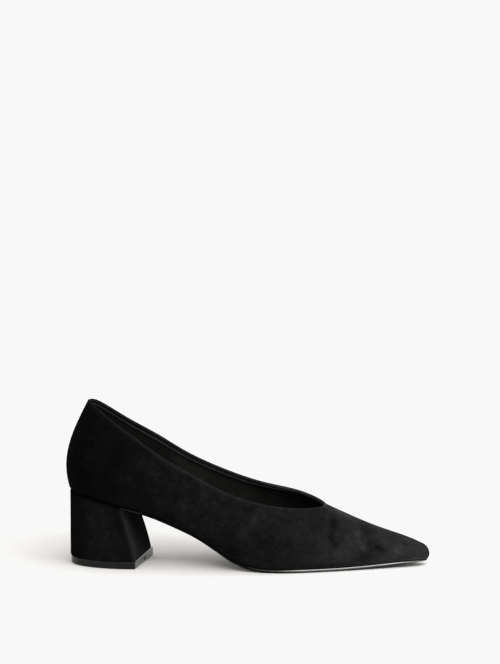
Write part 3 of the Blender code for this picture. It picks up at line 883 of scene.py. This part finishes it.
LIFT_GAP = 0.1  # between cover and lift
HEEL_LINES = 49
HEEL_WALL = (0.03, 0.97)  # shares of the height between the cover's two roundings
heel_rows = row_at(HEEL_BREAST)
corner_t = np.linspace(0, 1, 15)[1:-1]


def heel_loop(share, inset, front_inset, corners, breast_count):
    """(s, across) once round the heel: the seat's edge stretched between back and breast, then the breast.

    share is the height, 0 at the floor and 1 under the seat. inset moves the back and the sides inwards, and
    front_inset the breast, which has breast_count points. Each corner is a quadratic Bezier from the side to
    the breast, as long as corners says."""
    seat_back = SECTIONS["s"][0] + SEAT_INSET
    fall = np.clip(1 - share / HEEL_LIP, 0, 1)
    back = seat_back + (HEEL_FOOT_BACK - seat_back) * (1 - share) + inset
    bow = BREAST_BOW * 4 * fall * (1 - fall)
    front = HEEL_BREAST + (HEEL_FOOT_BREAST - HEEL_BREAST) * fall + bow - front_inset

    def side(rows):
        """The seat's edge at these rows, spread towards the floor and stretched between back and front."""
        spread = 1 + (np.where(rows < 0, *HEEL_FOOT_SPREAD) - 1) * (1 - share)
        s, across = feather(rows)
        out_s, out_across = outward(rows)
        forward = np.clip((s - SEAT_INSET * out_s - seat_back) / (HEEL_BREAST - seat_back), 0, 1)
        moved_in = (across - SEAT_INSET * out_across) * spread - inset * out_across
        return np.stack(np.broadcast_arrays(back + (front - back) * forward, moved_in), axis=-1)

    first, last = corners[0] / ROW_LENGTH - heel_rows, heel_rows - corners[1] / ROW_LENGTH
    flank = side(np.linspace(first, last, FLANK_COLUMNS))
    ends = side(np.array([-heel_rows, heel_rows]))
    ends[..., 0] = front
    near, far = ends[:, :1], ends[:, 1:]
    from_near, from_far = (corner / (far - near)[..., 1:] for corner in corners)
    breast_t = np.linspace(0, 1, breast_count)[:, None]
    breast = far + (near - far) * (from_far + (1 - from_near - from_far) * breast_t)
    bezier = corner_t[:, None]
    into = (1 - bezier) ** 2 * flank[:, -1:] + 2 * bezier * (1 - bezier) * far + bezier**2 * breast[:, :1]
    out_of = (1 - bezier) ** 2 * breast[:, -1:] + 2 * bezier * (1 - bezier) * near + bezier**2 * flank[:, :1]
    return np.concatenate([flank, into, breast, out_of, flank[:, :1]], axis=1)


def cover_rise(plan):
    """Height that the cover's end gains: evenly towards the breast and from the outer to the inner side."""
    forward = np.clip((plan[..., 0] - HEEL_FOOT_BREAST + RISE_REACH) / RISE_REACH, 0, 1)
    inward = np.clip((plan[..., 1] + HEEL_HALF_WIDTH) / (2 * HEEL_HALF_WIDTH), 0, 1)
    return COVER_RISE * forward * inward


def closed_stack(rings):
    """Rings one above the other with the first and last drawn together to their middles."""
    ends = [np.broadcast_to(ring[:-1].mean(axis=0), ring.shape) for ring in (rings[0], rings[-1])]
    return np.concatenate([ends[0][None], rings, ends[1][None]])


turn = np.linspace(0, np.pi / 2, 6)
heel_floor = LIFT_THICKNESS + LIFT_GAP
round_share = COVER_ROUND / (bottom_z(np.array(0.0)) - HEEL_SEAT_GAP - heel_floor)
share_low, share_high = round_share * (1 - np.cos(turn)), 1 - round_share * np.cos(turn)
inset_low, inset_high = COVER_ROUND * (1 - np.sin(turn)), COVER_ROUND * (1 - np.cos(turn))
heel_share = np.concatenate([share_low, np.linspace(*HEEL_WALL, HEEL_LINES), share_high])[:, None]
heel_inset = np.concatenate([inset_low, np.zeros(HEEL_LINES), inset_high])[:, None]
heel_plan = heel_loop(heel_share, heel_inset, heel_inset, HEEL_CORNERS, COVER_BREAST_COLUMNS)
heel_foot = heel_floor + cover_rise(heel_plan)
seat_z = bottom_z(heel_plan[..., 0]) - HEEL_SEAT_GAP
heel_z = heel_foot + (seat_z - heel_foot) * heel_share
heel_grid = closed_stack(swung(heel_plan[..., 0], heel_plan[..., 1], heel_z))
HEEL_LIGHT_AND_SHADE = (
    # share of the way round, from the outer corner by the back to the breast, how much paler it is painted: a
    # painted highlight on the outer breast corner, painted shade round the back
    (0.0, -0.05), (0.03, 0.0), (0.07, 0.06), (0.15, 0.03), (0.20, -0.06), (0.25, -0.15), (0.34, -0.32),
    (0.42, -0.32), (0.60, -0.06), (0.72, -0.02), (0.80, 0.08), (0.85, 0.11), (0.875, 0.17),
    (0.90, 0.30), (0.925, 0.39), (0.945, 0.30), (0.965, 0.10), (0.985, -0.02), (1.0, -0.05),
)
BREAST_PLACES = (0.79, 0.82, 0.89, 0.91)  # where on that way the breast starts, is full and ends
LOW_BREAST_LIGHT = 0.14  # painted light: the breast is paler just above the lift than under the shank
LOW_BREAST_REACH = 9.0
way_round = np.linspace(0, 1, heel_plan.shape[1])
# painted highlight on the outer breast corner and painted shade round the back of the heel
corner_light_and_shade = np.interp(way_round, *np.transpose(HEEL_LIGHT_AND_SHADE))
# painted shade at the top of the cover, in the joint under the seat
seam_shade = SEAM_SHADE * np.exp(-(((seat_z - heel_z) / SEAM_REACH) ** 2))
on_front = np.interp(way_round, BREAST_PLACES, (0, 1, 1, 0))
# painted light on the low part of the breast
low_breast_light = LOW_BREAST_LIGHT * on_front * np.exp(-(((heel_z - heel_floor) / LOW_BREAST_REACH) ** 2))
height_light_and_shade = low_breast_light - seam_shade
heel_light_and_shade = corner_light_and_shade + np.concatenate([height_light_and_shade[:1], height_light_and_shade, height_light_and_shade[-1:]])
heel = add_piece("heel_cover", [heel_grid], suede, {"nap_and_painted_light": [heel_light_and_shade]})
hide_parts("heel")

# Top lift: a hard black rubber piece pinned under the heel, set in a little from the cover at the back
# and sides. Its edges are slightly rounded, and the front face carries a small moulding nick.
LIFT_INSET = 0.5
LIFT_FORWARD = 0.5  # how far it stands out past the cover's breast
LIFT_CORNERS = (0.9, 2.0)
LIFT_BREAST_COLUMNS = 121
BREAST_POLISH = 0.5  # the front face is cut smooth and shines
BREAST_DEPTH = 0.1  # what lies further back than this behind the foot's breast isn't its front face
NICK_ACROSS = 1.4
NICK_Z = 2.8
NICK_RADIUS = 1.0
NICK_DEPTH = 1.4
lift_levels = np.array(
    [
        # z, inset
        (0.0, 0.7), (0.12, 0.35), (0.35, 0.1), (0.7, 0.0),
        *((z, 0.0) for z in np.linspace(0.9, 4.8, 20)),
        (5.05, 0.05), (5.22, 0.2),
        (LIFT_THICKNESS, 0.45),
    ]
)
rounding = lift_levels[:, 1:]
on_floor = np.zeros(rounding.shape)
lift_inset, lift_front = LIFT_INSET + rounding, rounding - LIFT_FORWARD
lift_plan = heel_loop(on_floor, lift_inset, lift_front, LIFT_CORNERS, LIFT_BREAST_COLUMNS)
lift_z = lift_levels[:, :1] * (1 + cover_rise(lift_plan) / LIFT_THICKNESS)
nick_gap = np.hypot(lift_plan[..., 1] - NICK_ACROSS, lift_z - NICK_Z) / NICK_RADIUS
on_breast = lift_plan[..., 0] > HEEL_FOOT_BREAST - BREAST_DEPTH
nick = np.exp(-(nick_gap**2)) * on_breast
lift_plan[..., 0] -= NICK_DEPTH * nick
lift_grid = closed_stack(swung(lift_plan[..., 0], lift_plan[..., 1], lift_z))

rubber_inputs = {"Roughness": 0.2, "IOR": 1.28, "Coat Roughness": 0.15, "Coat IOR": 1.6}
rubber, rubber_shader, rubber_place = new_material("lift_rubber", rubber_inputs)
rubber_cloud = noise(rubber, rubber_place, scale=120, detail=4, roughness=0.6)
rubber_fine = noise(rubber, rubber_place, scale=1400, detail=2)
rubber_colours = ((0.3, (0.0024, 0.0023, 0.0023)), (0.75, (0.0056, 0.0054, 0.0053)))
add_colours(rubber, rubber_shader, rubber_cloud, rubber_colours)
add_bump(rubber, rubber_shader, rubber_fine, strength=0.15, distance=0.0002)
polish = add_node(rubber, "Attribute", attribute_name="polish").outputs["Fac"]
link(rubber, polish, rubber_shader, "Coat Weight")
front_polish = BREAST_POLISH * on_breast * (1 - nick)
lift_polish = np.concatenate([front_polish[:1], front_polish, front_polish[-1:]])
top_lift = add_piece("lift_rubber", [lift_grid], rubber, {"polish": [lift_polish]})
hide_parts("top_lift")

# Studio: a white floor that runs up into a wall all round, so the background has no line in it.
# Away from the shoe it glows as a lit paper sweep does.
FLAT_RADIUS = 3.0  # of the flat floor, round which the paper bends up at a radius of one metre
SWEEP_HEIGHT = 2.5
sweep_profile = np.array(
    [
        # radius, height in metres
        (0.0, 0.0),
        *((r, 0.0) for r in np.linspace(0.1, FLAT_RADIUS, 30)),
        *((FLAT_RADIUS + np.sin(a), 1 - np.cos(a)) for a in np.linspace(0.1, np.pi / 2, 12)),
        (FLAT_RADIUS + 1, SWEEP_HEIGHT),
    ]
)
sweep_angle = np.linspace(0, 2 * np.pi, 97)[:, None]
sweep_radius, sweep_height = sweep_profile[:, 0], sweep_profile[:, 1] + 0 * sweep_angle
sweep_points = np.stack(
    [sweep_radius * np.cos(sweep_angle), sweep_radius * np.sin(sweep_angle), sweep_height], axis=-1
)
paper_inputs = {"Base Color": (0.895, 0.878, 0.85, 1), "Roughness": 0.9, "Specular IOR Level": 0.0}
paper, paper_shader, paper_place = new_material("white_paper", paper_inputs)
reach = add_node(paper, "VectorMath", {0: paper_place}, operation="LENGTH").outputs["Value"]
GLOW_FROM, GLOW_FULL = 0.25, 0.9  # metres from the shoe where the glow starts and is full
glow_range = {"Value": reach, "From Min": GLOW_FROM, "From Max": GLOW_FULL}
far_share = add_node(paper, "MapRange", glow_range, interpolation_type="SMOOTHSTEP").outputs["Result"]
PAPER_WHITE = 1.2
glow = add_node(paper, "Emission", {"Color": (PAPER_WHITE, PAPER_WHITE, PAPER_WHITE, 1)})
near_and_far = {0: far_share, 1: paper_shader.outputs["BSDF"], 2: glow.outputs["Emission"]}
both = add_node(paper, "MixShader", near_and_far)
link(paper, both.outputs["Shader"], paper.node_tree.nodes["Material Output"], "Surface")
floor_mesh = bpy.data.meshes.new("paper_sweep")
floor_quads = grid_quads(sweep_points.shape[:2])[:, ::-1]
floor_mesh.from_pydata(sweep_points.reshape(-1, 3).tolist(), [], floor_quads.tolist())
floor_mesh.shade_smooth()
floor_mesh.materials.append(paper)
floor = add_object("paper_sweep", floor_mesh)

# Studio light: a wide soft box high in front, turned to the toe's side, and a weaker one high beyond the toe.
# The world gives a little even light from everywhere else.
WORLD_LIGHT = 0.56
AIM = Vector((0, 0, 0.04))
world = bpy.data.worlds.new("studio")
bpy.context.scene.world = world
world.use_nodes = True
background = world.node_tree.nodes["Background"]
background.inputs["Color"].default_value = (1, 1, 1, 1)
background.inputs["Strength"].default_value = WORLD_LIGHT


def point_along(thing, place, direction):
    """Puts a lamp or the camera at a place, looking in a direction."""
    thing.location = place
    thing.rotation_mode = "QUATERNION"
    thing.rotation_quaternion = direction.to_track_quat("-Z", "Y")


SOFT_BOXES = (
    # name, place, width, height, radiance
    ("front_box", (0.38, -0.98, 1.06), 1.7, 0.5, 5.2),
    ("toe_side_box", (1.1, -0.2, 1.7), 1.4, 1.4, 1.9),
)
for name, place, width, height, radiance in SOFT_BOXES:
    lamp = bpy.data.lights.new(name, "AREA")
    lamp.shape = "RECTANGLE"
    lamp.size, lamp.size_y = width, height
    lamp.energy = np.pi * width * height * radiance
    point_along(add_object(name, lamp), place, AIM - Vector(place))

# Camera: level with the shoe's outside, a little above it and far off, with a long lens.
EYE = (0.1108, -1.6684, 0.3569)
HEADING = np.radians(3.750)
PITCH = np.radians(6.580)
FOCAL_PIXELS = 2405.0
FRAME_HEIGHT = 664
view = Vector((-np.sin(HEADING) * np.cos(PITCH), np.cos(HEADING) * np.cos(PITCH), -np.sin(PITCH)))
lens = bpy.data.cameras.new("camera")
lens.sensor_width = 36
lens.lens = lens.sensor_width * FOCAL_PIXELS / FRAME_HEIGHT
camera = add_object("camera", lens)
point_along(camera, EYE, view)
bpy.context.scene.camera = camera
colours = bpy.context.scene.view_settings
colours.view_transform = "Standard"
FLOOR_WHITE = 0.9387  # the brightest tone of the picture
tone_curve = colours.curve_mapping
tone_curve.extend = "HORIZONTAL"
for point, value in zip(tone_curve.curves[3].points, ((0.0, 0.0), (FLOOR_WHITE, FLOOR_WHITE))):
    point.location = value
    point.handle_type = "VECTOR"
tone_curve.update()
colours.use_curve_mapping = True
